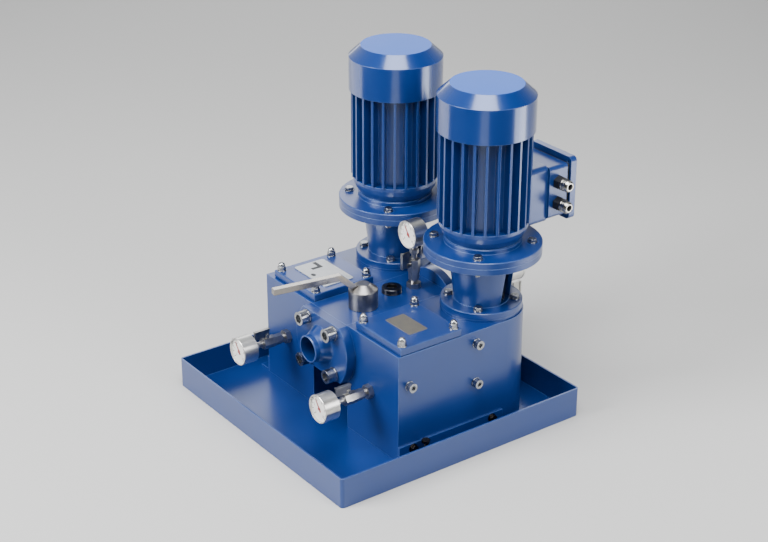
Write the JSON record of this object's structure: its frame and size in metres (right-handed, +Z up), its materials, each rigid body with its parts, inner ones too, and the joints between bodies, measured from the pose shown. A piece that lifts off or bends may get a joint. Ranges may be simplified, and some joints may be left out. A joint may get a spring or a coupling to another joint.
{
  "type": "screw pump",
  "caption": "Vertical screw pump station: pumps with flanged finned motors on a drip tray, joined by a centre block with flanged ports, changeover lever, filter covers and gauges.",
  "frame": {"origin": "middle of the drip tray's underside, on the ground", "axes": "+Z up, -Y towards the inlet flange and the front gauges, +X to the right seen from the front"},
  "size_m": [0.5, 0.54, 0.596],
  "materials": {
    "blue_paint": "gloss",
    "zinc_steel": "satin",
    "ground_steel": "satin",
    "stainless_steel": "satin",
    "blackened_steel": "satin",
    "gunmetal_iron": "satin",
    "copper_and_iron": "matte",
    "bronze": "satin",
    "black_rubber": "matte",
    "black_plastic": "matte",
    "plate_metal": "satin",
    "dial_white": "gloss",
    "gauge_glass": "gloss",
    "pointer_red": "gloss"
  },
  "bodies": {
    "station": {"drip_tray": "blue_paint", "foot_angles": "blue_paint", "m8_bolts": "zinc_steel", "housing_left": "blue_paint", "housing_right": "blue_paint", "centre_block": "blue_paint", "inlet_flange": "blue_paint", "outlet_flange": "blue_paint", "flange_screws": "zinc_steel", "seals": "black_rubber", "filter_covers": "blue_paint", "cover_nuts": "zinc_steel", "strainers": "stainless_steel", "cover_plates": "plate_metal", "port_plugs": "zinc_steel", "seal_covers": "blue_paint", "lantern_left": "blue_paint", "lantern_right": "blue_paint", "motor_bolts": "zinc_steel", "endshield_left": "blue_paint", "endshield_right": "blue_paint", "finned_frame_left": "blue_paint", "finned_frame_right": "blue_paint", "stators": "copper_and_iron", "rear_shields": "blue_paint", "fan_cowl_left": "blue_paint", "fan_cowl_right": "blue_paint", "terminal_boxes": "blue_paint", "terminal_lids": "blue_paint", "cable_glands": "black_plastic", "screw_inserts": "bronze", "ball_bearings": "ground_steel", "gauge_cocks": "stainless_steel", "gauge_cases": "stainless_steel", "gauge_dials": "dial_white", "gauge_windows": "gauge_glass", "relief_plug": "blackened_steel"},
    "drive_left": {"motor_rotor_left": "blackened_steel", "fan_left": "black_plastic", "coupling_left": "blackened_steel", "drive_screw_left": "ground_steel"},
    "drive_right": {"motor_rotor_right": "blackened_steel", "fan_right": "black_plastic", "coupling_right": "blackened_steel", "drive_screw_right": "ground_steel"},
    "idler_left_front": {"idler_left_front": "ground_steel"},
    "idler_left_rear": {"idler_left_rear": "ground_steel"},
    "idler_right_front": {"idler_right_front": "ground_steel"},
    "idler_right_rear": {"idler_right_rear": "ground_steel"},
    "changeover_lever": {"lever_hub": "gunmetal_iron", "lever_arm": "ground_steel"},
    "relief_piston": {"relief_piston": "ground_steel"},
    "cock_handle_left": {"cock_handle_left": "stainless_steel"},
    "pointer_left": {"pointer_left": "pointer_red"},
    "cock_handle_right": {"cock_handle_right": "stainless_steel"},
    "pointer_right": {"pointer_right": "pointer_red"},
    "cock_handle_top": {"cock_handle_top": "stainless_steel"},
    "pointer_top": {"pointer_top": "pointer_red"},
    "cock_handle_rear": {"cock_handle_rear": "stainless_steel"},
    "pointer_rear": {"pointer_rear": "pointer_red"}
  },
  "joints": [
    {"name": "drive_left_spin", "type": "hinge", "parent": "station", "child": "drive_left", "pos_m": [-0.1225, 0.131, 0.3], "axis": [0, 0, 1], "continuous": true},
    {"name": "drive_right_spin", "type": "hinge", "parent": "station", "child": "drive_right", "pos_m": [0.1225, 0.131, 0.3], "axis": [0, 0, 1], "continuous": true},
    {"name": "idler_left_front_spin", "type": "hinge", "parent": "station", "child": "idler_left_front", "pos_m": [-0.1225, 0.11, 0.09], "axis": [0, 0, 1], "continuous": true},
    {"name": "idler_left_rear_spin", "type": "hinge", "parent": "station", "child": "idler_left_rear", "pos_m": [-0.1225, 0.152, 0.09], "axis": [0, 0, 1], "continuous": true},
    {"name": "idler_right_front_spin", "type": "hinge", "parent": "station", "child": "idler_right_front", "pos_m": [0.1225, 0.11, 0.09], "axis": [0, 0, 1], "continuous": true},
    {"name": "idler_right_rear_spin", "type": "hinge", "parent": "station", "child": "idler_right_rear", "pos_m": [0.1225, 0.152, 0.09], "axis": [0, 0, 1], "continuous": true},
    {"name": "changeover_turn", "type": "hinge", "parent": "station", "child": "changeover_lever", "pos_m": [0.0095, -0.0345, 0.198], "axis": [0, 0, 1], "range_deg": [-36, 54]},
    {"name": "relief_lift", "type": "slide", "parent": "station", "child": "relief_piston", "axis": [0, 0, 1], "range_m": [0, 0.003], "stiffness_N_per_m": 4000, "springref_m": -0.004},
    {"name": "cock_left_turn", "type": "hinge", "parent": "station", "child": "cock_handle_left", "pos_m": [-0.1285, -0.143, 0.1035], "axis": [0, 0, 1], "range_deg": [0, 90]},
    {"name": "cock_right_turn", "type": "hinge", "parent": "station", "child": "cock_handle_right", "pos_m": [0.1165, -0.143, 0.1035], "axis": [0, 0, 1], "range_deg": [0, 90]},
    {"name": "cock_top_turn", "type": "hinge", "parent": "station", "child": "cock_handle_top", "pos_m": [0, 0.0805, 0.243], "axis": [0, -1, 0], "range_deg": [0, 90]},
    {"name": "cock_rear_turn", "type": "hinge", "parent": "station", "child": "cock_handle_rear", "pos_m": [0.1, 0.211, 0.1795], "axis": [0, 1, 0], "range_deg": [0, 90]},
    {"name": "pointer_left_swing", "type": "hinge", "parent": "station", "child": "pointer_left", "pos_m": [-0.1285, -0.197, 0.1035], "axis": [0, -1, 0], "range_deg": [-170, 100]},
    {"name": "pointer_right_swing", "type": "hinge", "parent": "station", "child": "pointer_right", "pos_m": [0.1165, -0.197, 0.1035], "axis": [0, -1, 0], "range_deg": [-170, 100]},
    {"name": "pointer_top_swing", "type": "hinge", "parent": "station", "child": "pointer_top", "pos_m": [0, 0.071, 0.301], "axis": [0, -1, 0], "range_deg": [-170, 100]},
    {"name": "pointer_rear_swing", "type": "hinge", "parent": "station", "child": "pointer_rear", "pos_m": [0.1, 0.221, 0.2375], "axis": [0, 1, 0], "range_deg": [-170, 100]}
  ],
  "couplings": [
    {"joint": "idler_left_front_spin", "follows": "drive_left_spin", "ratio": -1},
    {"joint": "idler_left_rear_spin", "follows": "drive_left_spin", "ratio": -1},
    {"joint": "idler_right_front_spin", "follows": "drive_right_spin", "ratio": -1},
    {"joint": "idler_right_rear_spin", "follows": "drive_right_spin", "ratio": -1}
  ]
}
